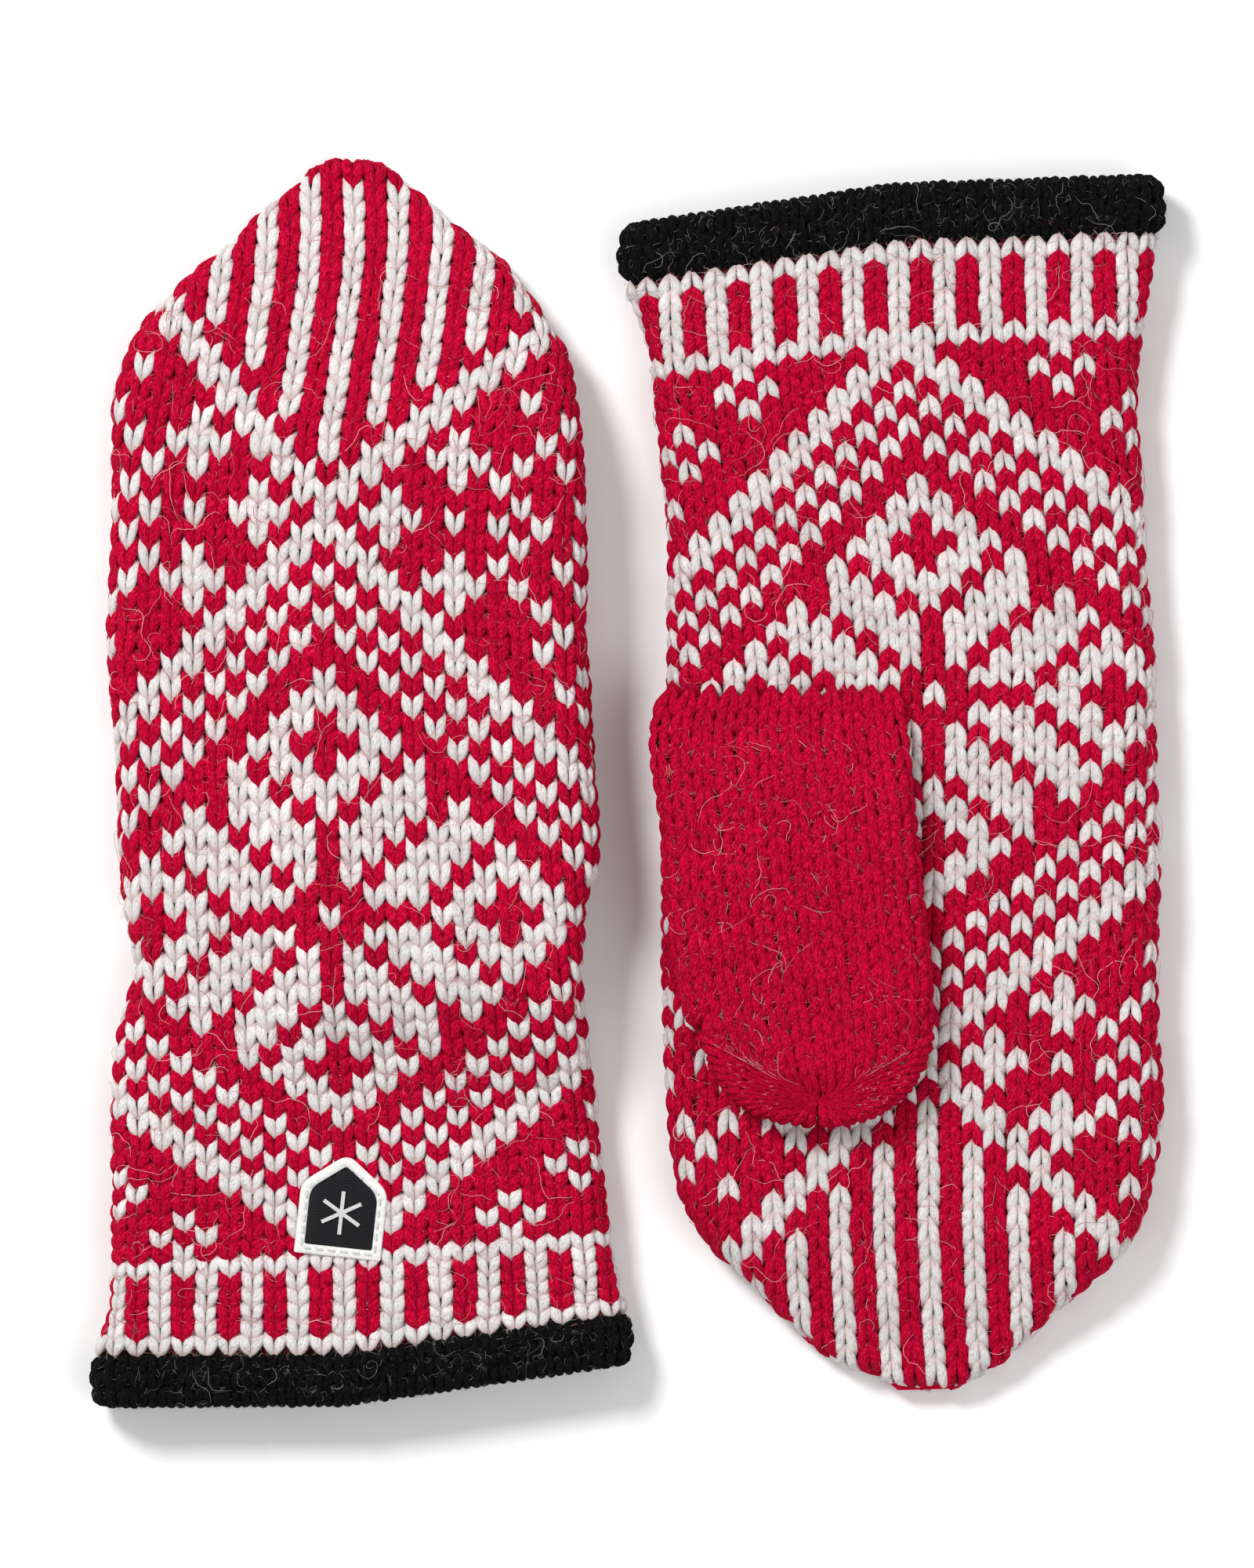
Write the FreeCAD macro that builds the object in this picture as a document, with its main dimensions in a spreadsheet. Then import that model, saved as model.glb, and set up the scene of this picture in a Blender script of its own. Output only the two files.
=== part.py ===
import FreeCAD, Part
import math
import os

import Sketcher

# A pair of knitted mittens, laid flat. Millimetres, +Z up, standing on z = 0.
# The left-hand mitten lies back up with its fingertips towards +Y and its thumb folded
# underneath. The right-hand mitten lies palm up with its fingertips towards -Y.
# Each mitten is modelled in its own frame: x = 0 is its long axis, y = 0 is the free edge
# of its cuff, +Y runs to the fingertips, and the thumb is on the +X side.

SIZES = [
    # Hand: a flattened tube of colourwork knit, narrowing to a gathered tip.
    ("hand_width", 102.0),
    ("hand_depth", 15.0),
    ("wrist_width", 101.0),
    ("mouth_width", 110.0),
    ("shell_wall", 4.0),
    ("wrist_y", 58.0),
    ("taper_length", 49.0),
    ("taper_depth", 12.0),
    ("tip_width", 19.0),
    ("tip_depth", 7.0),
    ("left_finger_reach", 68.7),
    ("right_finger_reach", 61.8),
    # Cuff: a folded hem, thicker and wider than the hand it ends.
    ("cuff_width", 114.0),
    ("cuff_height", 10.5),
    ("cuff_depth", 17.0),
    ("cuff_wall", 5.0),
    ("cuff_round", 2.2),
    ("cuff_slant", 4.4),
    # Thumb: a flat tube set on a slit across the palm and folded towards the fingertips.
    ("thumb_root_y", 102.5),
    ("thumb_length", 89.5),
    ("thumb_width", 54.5),
    ("thumb_root_width", 51.5),
    ("thumb_root_x", 25.0),
    ("thumb_ball_x", 27.0),
    ("thumb_end_x", 18.5),
    ("left_thumb_tuck", 3.2),
    ("thumb_depth", 10.5),
    ("thumb_root_depth", 9.6),
    ("thumb_wall", 2.5),
    ("thumb_end_width", 15.0),
    ("thumb_end_depth", 5.0),
    ("slit_length", 43.0),
    ("slit_gap", 7.0),
    ("fold_clearance", 0.6),
    # Closing yarn drawn through the last stitches of each tip.
    ("yarn_length", 2.5),
    ("yarn_inset", 1.2),
    # Label on the back of the left mitten: a house-shaped woven patch.
    ("label_width", 17.8),
    ("label_side", 14.2),
    ("label_peak", 6.6),
    ("label_rim", 2.2),
    ("label_rim_depth", 1.2),
    ("label_field_depth", 0.9),
    ("label_x", -5.1),
    ("label_y", 28.0),
    ("label_turn", -6.5),
    ("emblem_size", 4.6),
    ("emblem_bar", 0.8),
    ("emblem_depth", 0.4),
    ("thread_width", 0.4),
    ("thread_stitch", 1.4),
    # How the pair lies.
    ("pair_gap", 10.6),
    ("pair_stagger", 8.0),
    ("left_lean", 0.35),
    ("right_lean", 1.6),
]

doc = FreeCAD.newDocument("KnittedMittens")
sheet = doc.addObject("Spreadsheet::Sheet", "Sizes")
for row, (alias, value) in enumerate(SIZES, start=1):
    sheet.set("A%d" % row, alias)
    sheet.set("B%d" % row, repr(value))
    sheet.setAlias("B%d" % row, alias)
doc.recompute()

ALIASES = {alias for alias, value in SIZES}
THUMB_BALL = 0.13   # where the thumb is widest, as a share of its length
NODES = []          # (body, side) of every sub-part, in the order they are made


def size(text):
    """The value of an expression in the sheet's aliases."""
    return float(sheet.evalExpression(qualified(text)))


def qualified(text):
    """Names each alias in an expression as a cell of the sheet."""
    words = []
    word = ""
    for letter in text + " ":
        if letter.isalnum() or letter == "_":
            word += letter
            continue
        words.append("Sizes." + word if word in ALIASES else word)
        words.append(letter)
        word = ""
    return "".join(words).strip()


def new_body(label, side):
    body = doc.addObject("PartDesign::Body", label)
    body.Label = label
    NODES.append((body, side))
    return body


def origin_plane(body, role):
    return next(f for f in body.Origin.OriginFeatures if f.Role == role)


def new_sketch(body, name, role, offset="0", turn=None):
    """A sketch on one of the body's own planes, moved along its normal and turned."""
    sketch = body.newObject("Sketcher::SketchObject", name)
    sketch.AttachmentSupport = (origin_plane(body, role), [""])
    sketch.MapMode = "FlatFace"
    angle = size(turn) if turn else 0.0
    rotation = FreeCAD.Rotation(FreeCAD.Vector(0, 1, 0), angle)
    base = FreeCAD.Vector(0, 0, size(offset))
    sketch.AttachmentOffset = FreeCAD.Placement(base, rotation)
    sketch.setExpression("AttachmentOffset.Base.z", qualified(offset))
    if turn:
        sketch.setExpression("AttachmentOffset.Rotation.Angle", qualified(turn))
    return sketch


def pin_point(sketch, edge, end, across, up):
    """Fixes one end of an edge at two expressions."""
    for kind, text in (("DistanceX", across), ("DistanceY", up)):
        number = sketch.addConstraint(Sketcher.Constraint(kind, -1, 1, edge, end, size(text)))
        sketch.setExpression("Constraints[%d]" % number, qualified(text))


def outline(sketch, corners):
    """A closed outline of straight edges through corners given as expressions."""
    points = [FreeCAD.Vector(size(x), size(y), 0) for x, y in corners]
    count = len(points)
    for i in range(count):
        sketch.addGeometry(Part.LineSegment(points[i], points[(i + 1) % count]))
    for i in range(count):
        sketch.addConstraint(Sketcher.Constraint("Coincident", i, 2, (i + 1) % count, 1))
    for i, (x, y) in enumerate(corners):
        pin_point(sketch, i, 1, x, y)


def flat_tube(sketch, width, depth, centre="0", base="0", rise=None):
    """The outline of a flattened tube: two rounded sides joined by a top and a bottom.
    Where the tube rides up on something beneath its +X half, the top and bottom climb
    together by the rise over a short ramp."""
    left = "(%s) - (%s) / 2 + (%s) / 2" % (centre, width, depth)
    right = "(%s) + (%s) / 2 - (%s) / 2" % (centre, width, depth)
    low, high = "(%s)" % base, "(%s) + (%s)" % (base, depth)
    if rise is None:
        corners = [(left, high), (left, low), (right, low), (right, high)]
    else:
        foot = "(%s) - 0.24 * (%s)" % (centre, width)
        head = "(%s) - 0.06 * (%s)" % (centre, width)
        low_up, high_up = "%s + (%s)" % (low, rise), "%s + (%s)" % (high, rise)
        corners = [(left, high), (left, low), (foot, low), (head, low_up),
                   (right, low_up), (right, high_up), (head, high_up), (foot, high)]
    count = len(corners)
    at = [FreeCAD.Vector(size(x), size(y), 0) for x, y in corners]
    bulge = FreeCAD.Vector(size(depth) / 2, 0, 0)
    rounded = {0: -1, count // 2: 1}
    for i in range(count):
        start, end = at[i], at[(i + 1) % count]
        if i in rounded:
            side = (start + end) / 2 + bulge * rounded[i]
            sketch.addGeometry(Part.Arc(start, side, end))
        else:
            sketch.addGeometry(Part.LineSegment(start, end))
    ends = []
    for i in range(count):
        forward = (sketch.Geometry[i].StartPoint - at[i]).Length < 1e-6
        ends.append((1, 2) if forward else (2, 1))
    for i in range(count):
        after = (i + 1) % count
        sketch.addConstraint(Sketcher.Constraint("Coincident", i, ends[i][1], after, ends[after][0]))
    for i in rounded:
        sketch.addConstraint(Sketcher.Constraint("Vertical", i, 3, i, 1))
    for i, (x, y) in enumerate(corners):
        pin_point(sketch, i, ends[i][0], x, y)


def loft(body, kind, name, sketches):
    feature = body.newObject("PartDesign::" + kind, name)
    feature.Profile = sketches[0]
    feature.Sections = sketches[1:]
    feature.Ruled = True
    return feature


def prism(body, kind, name, sketch, length, reverse=False):
    feature = body.newObject("PartDesign::" + kind, name)
    feature.Profile = sketch
    feature.Length = size(length)
    feature.setExpression("Length", qualified(length))
    feature.Reversed = reverse
    return feature


def hand_length(side):
    """From the cuff's free edge to the fingertips: to the thumb's root, along the thumb,
    and on by the fingers' reach beyond it."""
    return "(thumb_root_y + thumb_length + %s_finger_reach)" % side


def hand_stations(side):
    """Where the hand's outline is set: name, place along it, width, depth, share of the
    cuff's slant, and share of the rise over a thumb folded underneath."""
    length = hand_length(side)
    return [
        ("mouth", "cuff_height / cos(cuff_slant)", "mouth_width", "hand_depth", 1.0, 0.0),
        ("wrist", "wrist_y", "wrist_width", "hand_depth", 0.4, 0.0),
        ("root", "thumb_root_y - slit_gap - shell_wall", "hand_width", "hand_depth", 0.0, 1.0),
        ("palm", "thumb_root_y + thumb_length / 2", "hand_width", "hand_depth", 0.0, 1.0),
        ("knuckle", "thumb_root_y + thumb_length + yarn_length + shell_wall",
         "0.99 * hand_width", "hand_depth", 0.0, 1.0),
        ("taper_a", length + " - taper_length * 0.86", "0.93 * hand_width", "hand_depth", 0.0, 0.42),
        ("taper_b", length + " - taper_length * 0.6", "0.78 * hand_width", "0.95 * hand_depth", 0.0, 0.1),
        ("taper_c", length + " - taper_length * 0.28", "0.46 * hand_width", "taper_depth", 0.0, 0.0),
        ("tip", length + " - yarn_length", "tip_width", "tip_depth", 0.0, 0.0),
    ]


def lifted(side, share):
    """How far the hand is lifted by the thumb beneath it: only the left one is."""
    if side == "right":
        return None
    return "%g * (thumb_depth + fold_clearance)" % share


def make_hand(side):
    body = new_body(side + "_hand_shell", side)
    skin, hollow = [], []
    for name, place, width, depth, slant, lift in hand_stations(side):
        turn = "%g * cuff_slant" % slant
        outer = new_sketch(body, "%s_%s" % (side, name), "XZ_Plane", "-(%s)" % place, turn)
        flat_tube(outer, width, depth, rise=lifted(side, lift))
        skin.append(outer)
        if name == "tip":
            continue
        inner = new_sketch(body, "%s_%s_hollow" % (side, name), "XZ_Plane", "-(%s)" % place, turn)
        flat_tube(inner, width + " - 2 * shell_wall", depth + " - 2 * shell_wall",
                  base="shell_wall", rise=lifted(side, lift))
        hollow.append(inner)
    loft(body, "AdditiveLoft", side + "_skin", skin)
    loft(body, "SubtractiveLoft", side + "_hollow", hollow)
    doc.recompute()
    before = body.Shape.Volume
    cut_thumb_slit(body, side)
    doc.recompute()
    if body.Shape.Volume >= before:
        raise RuntimeError("the thumb slit cuts nothing from " + body.Label)


def cut_thumb_slit(body, side):
    """The slit across the palm wall that a thumb goes through, just on the cuff's side of
    the thumb's root."""
    middle = "hand_depth / 2 + " + (lifted(side, 1.0) or "0")
    sketch = new_sketch(body, side + "_slit_outline", "XY_Plane", middle)
    near = "thumb_root_y - fold_clearance - slit_gap"
    far = "thumb_root_y - fold_clearance"
    middle_x = thumb_stations(side)[0][2]
    start = middle_x + " - slit_length / 2"
    end = middle_x + " + slit_length / 2"
    outline(sketch, [(start, near), (end, near), (end, far), (start, far)])
    prism(body, "Pocket", side + "_slit", sketch, "hand_depth", reverse=(side == "right"))


def make_cuff(side):
    """The black hem: a folded double layer, rounded at both edges."""
    body = new_body(side + "_cuff_band", side)
    turn = "cuff_slant"
    outer = new_sketch(body, side + "_hem_outline", "XZ_Plane", "0", turn)
    flat_tube(outer, "cuff_width", "cuff_depth")
    prism(body, "Pad", side + "_hem", outer, "cuff_height", reverse=True)
    inner = new_sketch(body, side + "_hem_mouth", "XZ_Plane", "0", turn)
    flat_tube(inner, "cuff_width - 2 * cuff_wall", "cuff_depth - 2 * cuff_wall", base="cuff_wall")
    doc.recompute()
    solid = body.Shape.Volume
    band = prism(body, "Pocket", side + "_hem_opening", inner, "cuff_height")
    doc.recompute()
    if body.Shape.Volume >= solid:
        raise RuntimeError("the cuff's opening cuts nothing from " + body.Label)
    edges = []
    for number, edge in enumerate(band.Shape.Edges, start=1):
        box = edge.BoundBox
        around = math.hypot(box.XLength, box.ZLength)
        if around > box.YLength and not runs_along(edge):
            edges.append("Edge%d" % number)
    fold = body.newObject("PartDesign::Fillet", side + "_hem_fold")
    fold.Base = (band, edges)
    radius = "min(cuff_round; 0.45 * cuff_wall)"
    fold.Radius = size(radius)
    fold.setExpression("Radius", qualified(radius))


def runs_along(edge):
    """True for a straight edge along the mitten, from one end of the hem to the other."""
    if edge.Curve.TypeId != "Part::GeomLine":
        return False
    return abs(edge.Curve.Direction.y) > 0.9


def thumb_stations(side):
    """The thumb's outline from its root: name, place, middle, width, depth. It swells at
    the ball, leans inwards from there, and lies a little further in under the left palm."""
    shift = " - left_thumb_tuck" if side == "left" else ""
    outline_from_root = [
        ("root", 0.0, "thumb_root_width", "thumb_root_depth"),
        ("ball", THUMB_BALL, "thumb_width", "thumb_depth"),
        ("middle", 0.5, "thumb_width", "thumb_depth"),
        ("nail", 0.76, "0.97 * thumb_width", "thumb_depth"),
        ("bend", 0.88, "0.82 * thumb_width", "0.97 * thumb_depth"),
        ("point", 0.96, "0.56 * thumb_width", "0.78 * thumb_depth"),
        ("end", 1.0, "thumb_end_width", "thumb_end_depth"),
    ]
    stations = []
    for name, share, width, depth in outline_from_root:
        if share < THUMB_BALL:
            middle = "thumb_root_x"
        else:
            lean = (share - THUMB_BALL) / (1 - THUMB_BALL)
            middle = "thumb_ball_x + (thumb_end_x - thumb_ball_x) * %g" % lean
        stations.append((name, "%g * thumb_length" % share, middle + shift, width, depth))
    return stations


def thumb_base(side, depth):
    """The right thumb lies on the palm. The left one lies under it, with its palm side up."""
    if side == "right":
        return "hand_depth + fold_clearance"
    return "thumb_depth - (%s)" % depth


def make_thumb(side):
    body = new_body(side + "_thumb", side)
    skin, hollow = [], []
    for name, place, middle, width, depth in thumb_stations(side):
        along = "-(thumb_root_y + %s)" % place
        base = thumb_base(side, depth)
        outer = new_sketch(body, "%s_thumb_%s" % (side, name), "XZ_Plane", along)
        flat_tube(outer, width, depth, middle, base)
        skin.append(outer)
        if name in ("point", "end"):
            continue
        inner = new_sketch(body, "%s_thumb_%s_hollow" % (side, name), "XZ_Plane", along)
        flat_tube(inner, width + " - 2 * thumb_wall", depth + " - 2 * thumb_wall",
                  middle, base + " + thumb_wall")
        hollow.append(inner)
    loft(body, "AdditiveLoft", side + "_thumb_skin", skin)
    loft(body, "SubtractiveLoft", side + "_thumb_hollow", hollow)


def make_closing_yarn(label, side, place, centre, width, depth, base):
    """The yarn end drawn through the last stitches: a small rounded gather on a tip."""
    body = new_body(label, side)
    first = new_sketch(body, label + "_foot", "XZ_Plane", "-(%s)" % place)
    flat_tube(first, "%s - 2 * yarn_inset" % width, "%s - 2 * yarn_inset" % depth,
              centre, "%s + yarn_inset" % base)
    last = new_sketch(body, label + "_head", "XZ_Plane", "-(%s + yarn_length)" % place)
    flat_tube(last, "0.6 * (%s)" % width, "0.4 * (%s)" % depth, centre, "%s + 0.3 * (%s)" % (base, depth))
    loft(body, "AdditiveLoft", label + "_gather", [first, last])


def make_tip_yarn(side):
    make_closing_yarn(side + "_tip_yarn", side, hand_length(side) + " - yarn_length", "0",
                      "tip_width", "tip_depth", "0")


def make_thumb_yarn(side):
    middle = thumb_stations(side)[-1][2]
    make_closing_yarn(side + "_thumb_yarn", side, "thumb_root_y + thumb_length", middle,
                      "thumb_end_width", "thumb_end_depth", thumb_base(side, "thumb_end_depth"))


def house(inset):
    """The corners of the label, or of a line inside it: a square with a pitched roof."""
    half = "label_width / 2 - (%s)" % inset
    slope = "sqrt(1 + (2 * label_peak / label_width)^2)"
    eaves = "label_side + (%s) * (2 * label_peak / label_width - %s)" % (inset, slope)
    ridge = "label_side + label_peak - (%s) * %s" % (inset, slope)
    return [("-(%s)" % half, inset), (half, inset), (half, eaves), ("0", ridge), ("-(%s)" % half, eaves)]


def make_label_rim():
    body = new_body("label_rim", "label")
    outer = new_sketch(body, "label_outer", "XY_Plane", "hand_depth")
    outline(outer, house("0"))
    prism(body, "Pad", "label_felt", outer, "label_rim_depth")
    inner = new_sketch(body, "label_window", "XY_Plane", "hand_depth")
    outline(inner, house("label_rim"))
    prism(body, "Pocket", "label_opening", inner, "label_rim_depth", reverse=True)


def make_label_field():
    body = new_body("label_field", "label")
    sketch = new_sketch(body, "label_weave", "XY_Plane", "hand_depth")
    outline(sketch, house("label_rim"))
    prism(body, "Pad", "label_cloth", sketch, "label_field_depth")


def make_label_emblem():
    """A plain six-armed star of thread: three crossed bars in one piece."""
    bars = []
    height = size("hand_depth + label_field_depth")
    for i in range(3):
        bar = doc.addObject("Part::Box", "emblem_bar_%d" % (i + 1))
        bar.setExpression("Length", qualified("2 * emblem_size"))
        bar.setExpression("Width", qualified("emblem_bar"))
        bar.setExpression("Height", qualified("emblem_depth"))
        turn = FreeCAD.Rotation(FreeCAD.Vector(0, 0, 1), 30 + 60 * i)
        middle = FreeCAD.Vector(0, size("(label_side + label_peak) * 0.44"), height)
        corner = turn.multVec(FreeCAD.Vector(-size("emblem_size"), -size("emblem_bar") / 2, 0))
        bar.Placement = FreeCAD.Placement(middle + corner, turn)
        bars.append(bar)
    star = doc.addObject("Part::MultiFuse", "label_emblem")
    star.Label = "label_emblem"
    star.Shapes = bars
    NODES.append((star, "label"))


def make_label_thread():
    """The sewing thread that holds the label: one short stitch after another, all round,
    along the middle of the rim."""
    corners = [FreeCAD.Vector(size(x), size(y), 0) for x, y in house("label_rim / 2")]
    top = size("hand_depth + label_rim_depth")
    width = size("thread_width")
    stitch = size("thread_stitch")
    stitches = []
    for start, end in zip(corners, corners[1:] + corners[:1]):
        run = end - start
        count = max(1, int(run.Length / (1.7 * stitch)))
        turn = FreeCAD.Rotation(FreeCAD.Vector(1, 0, 0), run)
        for i in range(count):
            middle = start + run * ((i + 0.5) / count)
            box = Part.makeBox(stitch, width, width, FreeCAD.Vector(-stitch / 2, -width / 2, 0))
            box.Placement = FreeCAD.Placement(middle + FreeCAD.Vector(0, 0, top), turn)
            stitches.append(box)
    thread = doc.addObject("Part::Feature", "label_thread")
    thread.Label = "label_thread"
    thread.Shape = Part.makeCompound(stitches)
    NODES.append((thread, "label"))


def mitten_placement(side):
    """Where each mitten lies. The label lies on the left one, turned a little."""
    if side == "right":
        across = size("hand_width + pair_gap")
        along = size(hand_length("left") + " - pair_stagger")
        turn = FreeCAD.Rotation(FreeCAD.Vector(0, 0, 1), 180 + size("right_lean"))
        return FreeCAD.Placement(FreeCAD.Vector(across, along, 0), turn)
    turn = FreeCAD.Rotation(FreeCAD.Vector(0, 0, 1), size("left_lean"))
    left = FreeCAD.Placement(FreeCAD.Vector(0, 0, 0), turn)
    if side == "left":
        return left
    turn = FreeCAD.Rotation(FreeCAD.Vector(0, 0, 1), size("label_turn"))
    return left.multiply(FreeCAD.Placement(FreeCAD.Vector(size("label_x"), size("label_y"), 0), turn))


def lay_out_pair():
    """Lays each sub-part in its mitten's place, with the pair's middle at the origin."""
    for body, side in NODES:
        body.Placement = mitten_placement(side).multiply(body.Placement)
    doc.recompute()
    whole = FreeCAD.BoundBox()
    for body, side in NODES:
        whole.add(body.Shape.optimalBoundingBox(False))
    middle = FreeCAD.Vector(whole.Center.x, whole.Center.y, whole.ZMin)
    for body, side in NODES:
        body.Placement = FreeCAD.Placement(-middle, FreeCAD.Rotation()).multiply(body.Placement)
    doc.recompute()
    return whole


def check_document():
    """Stops if any object failed, or any sub-part has no valid shape."""
    for item in doc.Objects:
        if "Invalid" in item.State or "Error" in item.State:
            raise RuntimeError("%s failed: %s" % (item.Name, item.State))
    for body, side in NODES:
        if body.Shape.isNull() or not body.Shape.isValid():
            raise RuntimeError("%s has no valid shape" % body.Label)


for side in ("left", "right"):
    make_hand(side)
    make_cuff(side)
    make_thumb(side)
    make_tip_yarn(side)
    make_thumb_yarn(side)
make_label_rim()
make_label_field()
make_label_emblem()
make_label_thread()
doc.recompute()
whole = lay_out_pair()
check_document()

os.makedirs("parts", exist_ok=True)
for body, side in NODES:
    body.Shape.exportStep("parts/%s.step" % body.Label)
print("pair", [round(v, 2) for v in (whole.XLength, whole.YLength, whole.ZLength)])
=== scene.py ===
"""Knitted mittens: every stitch is real yarn geometry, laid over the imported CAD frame.

Lengths are in mm unless a name or comment says otherwise. The knit is addressed by wale c, which
counts across from a middle line, and row k, which counts along. A surface is a function of (c, k)
that gives points in metres and outward directions.
"""

import math

import bpy
import numpy as np
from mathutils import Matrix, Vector


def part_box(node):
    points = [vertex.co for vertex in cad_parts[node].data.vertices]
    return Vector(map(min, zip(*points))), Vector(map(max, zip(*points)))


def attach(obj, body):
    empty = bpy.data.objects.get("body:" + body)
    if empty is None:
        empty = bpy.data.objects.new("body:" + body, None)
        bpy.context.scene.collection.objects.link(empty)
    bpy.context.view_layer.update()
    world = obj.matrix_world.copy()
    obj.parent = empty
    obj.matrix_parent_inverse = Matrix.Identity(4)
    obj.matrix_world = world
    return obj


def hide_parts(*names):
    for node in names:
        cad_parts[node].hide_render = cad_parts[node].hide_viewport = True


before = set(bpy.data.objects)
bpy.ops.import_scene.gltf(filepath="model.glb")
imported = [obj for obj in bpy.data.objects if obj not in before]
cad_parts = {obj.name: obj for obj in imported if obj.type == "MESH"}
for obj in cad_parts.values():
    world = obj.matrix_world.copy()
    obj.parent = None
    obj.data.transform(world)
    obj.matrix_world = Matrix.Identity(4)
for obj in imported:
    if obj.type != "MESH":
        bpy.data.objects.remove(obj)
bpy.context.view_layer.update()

MM = 0.001
rng = np.random.default_rng(7)

# ---------------------------------------------------------------- sizes
QUARTER = math.pi / 2   # a quarter turn
WALE_PITCH = 4.72       # the usual distance from wale to wale
NEAR_WALE = 4.7         # wale to wale and row to row, roughly, for what needs no exact place
NEAR_ROW = 4.2
STITCH_SPAN = 1.62      # rows that one stitch's legs reach over
YARN_WIDTH = 1.18       # half the width of a leg
YARN_DEPTH = 0.98       # half its thickness
SKIN = 0.9              # the yarn's centre lies this far inside the outline
FLOOR_GAP = 0.05        # nothing knitted goes lower than this

# The hand.
WALES_HALF = 12         # wales from the motif's axis to the side of the hand
FIRST_ROW = -24
LAST_ROW = 37
CROSSING = 19           # row where the rose's lattice crosses
UNDER_PITCH = 4.66      # wale to wale on the side that lies on the table
UNDER_TILT = 0.2        # share of the upper side's tilt that the rows of that side have
TIP_ZONE = 35           # the hand gets thinner over this length before its tip
SIDE_ROOM = 1.6         # the upper side's stitches reach this far round the edge
LIFT = 11.1             # how far the left mitten rides up over its thumb
DRAPE_X = (-84, -64)    # the left mitten climbs on to its thumb between these
BACKING_INSET = 0.95    # how far behind the yarn's centre the two closed layers lie
LINING_INSET = 2.9

# The folded black hem.
HEM_WALES = 58
HEM_ROW = 3.5
HEM_WALL = 2.0          # half the thickness of the folded hem
HEM_RADIUS = 5.1        # half the depth of the hem at the middle of its wall
HEM_MIDDLE = 8.45       # height of its middle over the table
HEM_PITCH = 5.0         # wale to wale at the cuff, for the slant of its edge
HEM_RISE = 0.4          # it reaches this far up over the first row of stitches
HEM_SIDE = 1.6          # the yarn's centre lies this far inside its ends
HEM_TUCK = 1.3          # its upper edge sinks this far under the white stitches
HEM_TUCK_LENGTH = 3.2
HEM_BULGE = 0.5

# The thumb.
THUMB_ROWS = 23
THUMB_HALF = 6.0        # wales from the thumb's middle to its side
THUMB_DEPTH = 10.4
THUMB_SKIN = 0.85 * SKIN
THUMB_ROOT = 0.18       # share of its thickness that the thumb has at its root
THUMB_RISE = 26.0       # the thumb grows to its full thickness over this length
THUMB_FULL = 14.0       # its wales are spread by its width this far before the gathered point
THUMB_BACKING = 1.1
TURN_IN = 0.6           # a wale turns in earlier by this share of its way across
TURN_IN_PATH = 1.166    # length of its slanted way for each mm across
END_ROUND = 2.4         # power of the curve that rounds the thumb's end
END_FAN = math.radians(168)     # the end's wales fan out this far to each side
END_WALES = 16          # wales of the thumb's rounded end
END_ROW = 3.7           # height of a row there
END_START = 2.9         # row at which they would meet in the gathered point
END_DEPTH = 0.6         # share of the thumb's half thickness that its edge bulges out by
GATHER_SINK = 2.6       # the gathered point is drawn in by this much
GATHER_SPREAD = 26.0    # the dimple's width, squared

# The label on the left mitten.
LABEL_HALF = 9.25       # half its width
LABEL_SIDE = 14.9       # height of its straight sides
LABEL_PEAK = 7.0        # height of its gable over them
LABEL_TURN = math.radians(-6.15)
LABEL_BORDER = 1.85     # width of the white felt that shows
LABEL_OUTER = (2.4, 2.4)        # how far the eaves' and the peak's corners are cut, outside
LABEL_INNER = (2.2, 0.8)        # and inside the border
LABEL_FOOT = 0.5
LABEL_AIR = MM          # in metres: hairs stay this far off the label
UNDER_LABEL = 0.75      # stitches below the label rise at most this far past its underside

# How uneven hand knitting is, as spreads about the regular stitch.
UNEVEN_PLACE = 0.025    # in wales
UNEVEN_LEAN = 0.012
UNEVEN_ROW = 0.04       # in rows
UNEVEN_HEIGHT = 0.08
UNEVEN_GIRTH = 0.06     # share of the yarn's thickness
UNEVEN_SPIN = 0.05
UNEVEN_TONE = 0.3


def smooth(anchors):
    """A curve through (place, value) anchors that never overshoots; straight beyond both ends."""
    at, value = np.array(anchors, float).T
    secant = np.diff(value) / np.diff(at)
    slope = np.empty(len(at))
    slope[0], slope[-1] = secant[0], secant[-1]
    a, b = secant[:-1], secant[1:]
    same = a * b > 0
    slope[1:-1] = np.where(same, 2 * a * b / np.where(same, a + b, 1), 0)

    def curve(x):
        x = np.asarray(x, float)
        i = np.clip(np.searchsorted(at, x) - 1, 0, len(at) - 2)
        h = at[i + 1] - at[i]
        t = np.clip((x - at[i]) / h, 0, 1)
        inside = (
            (1 + 2 * t) * (1 - t) ** 2 * value[i]
            + t * (1 - t) ** 2 * h * slope[i]
            + t * t * (3 - 2 * t) * value[i + 1]
            + t * t * (t - 1) * h * slope[i + 1]
        )
        low = np.minimum(x - at[0], 0) * slope[0]
        high = np.maximum(x - at[-1], 0) * slope[-1]
        return inside + low + high

    return curve


def ramp(x, start, end):
    """0 before start, 1 after end, smooth between."""
    t = np.clip((np.asarray(x, float) - start) / (end - start), 0, 1)
    return t * t * (3 - 2 * t)


# One leg of a stitch, from the bottom of its V to where it tucks under the next stitch up.
LEG_SPREAD = smooth([(0, 0.02), (0.12, 0.08), (0.25, 0.15), (0.5, 0.25), (0.75, 0.31), (1, 0.34)])
LEG_HEIGHT = smooth([(0, 0.2), (0.18, 0.5), (0.4, 0.6), (0.65, 0.28), (0.85, -0.4), (1, -1.0)])
LEG_GIRTH = smooth([(0, 0.22), (0.12, 0.44), (0.25, 0.72), (0.5, 1.02), (0.75, 1.06), (1, 0.6)])

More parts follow.
